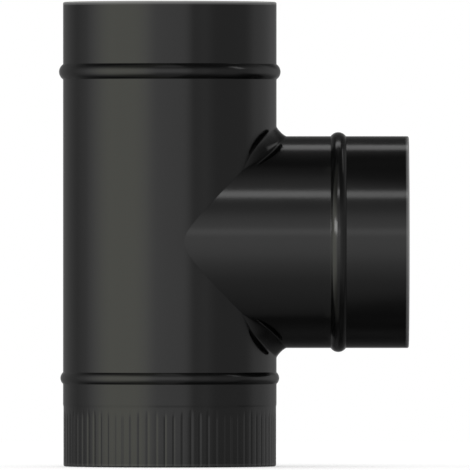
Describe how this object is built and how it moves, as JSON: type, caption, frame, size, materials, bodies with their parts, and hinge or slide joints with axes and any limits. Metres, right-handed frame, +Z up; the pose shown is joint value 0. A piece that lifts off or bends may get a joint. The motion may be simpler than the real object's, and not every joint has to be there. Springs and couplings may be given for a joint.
{
  "type": "stove pipe tee",
  "caption": "Black sheet-steel stove pipe tee: beaded round run with a crimped lower end and a saddle-fitted side branch of the same size.",
  "frame": {"origin": "on the floor plane under the crimped end, at the middle of the overall box in X and Y; the run's axis is 46.1 mm to the -X side of it", "axes": "+Z up along the run pipe from the crimped end to the plain socket end, +X the way the branch points, +Y to the far side of the picture"},
  "size_m": [0.2516, 0.1594, 0.334],
  "materials": {
    "run_pipe_paint": "black heat-proof stove paint, low sheen",
    "branch_collar_paint": "black heat-proof stove paint, low sheen"
  },
  "bodies": {
    "root": {"run_pipe": "run_pipe_paint", "branch_collar": "branch_collar_paint"}
  },
  "joints": []
}
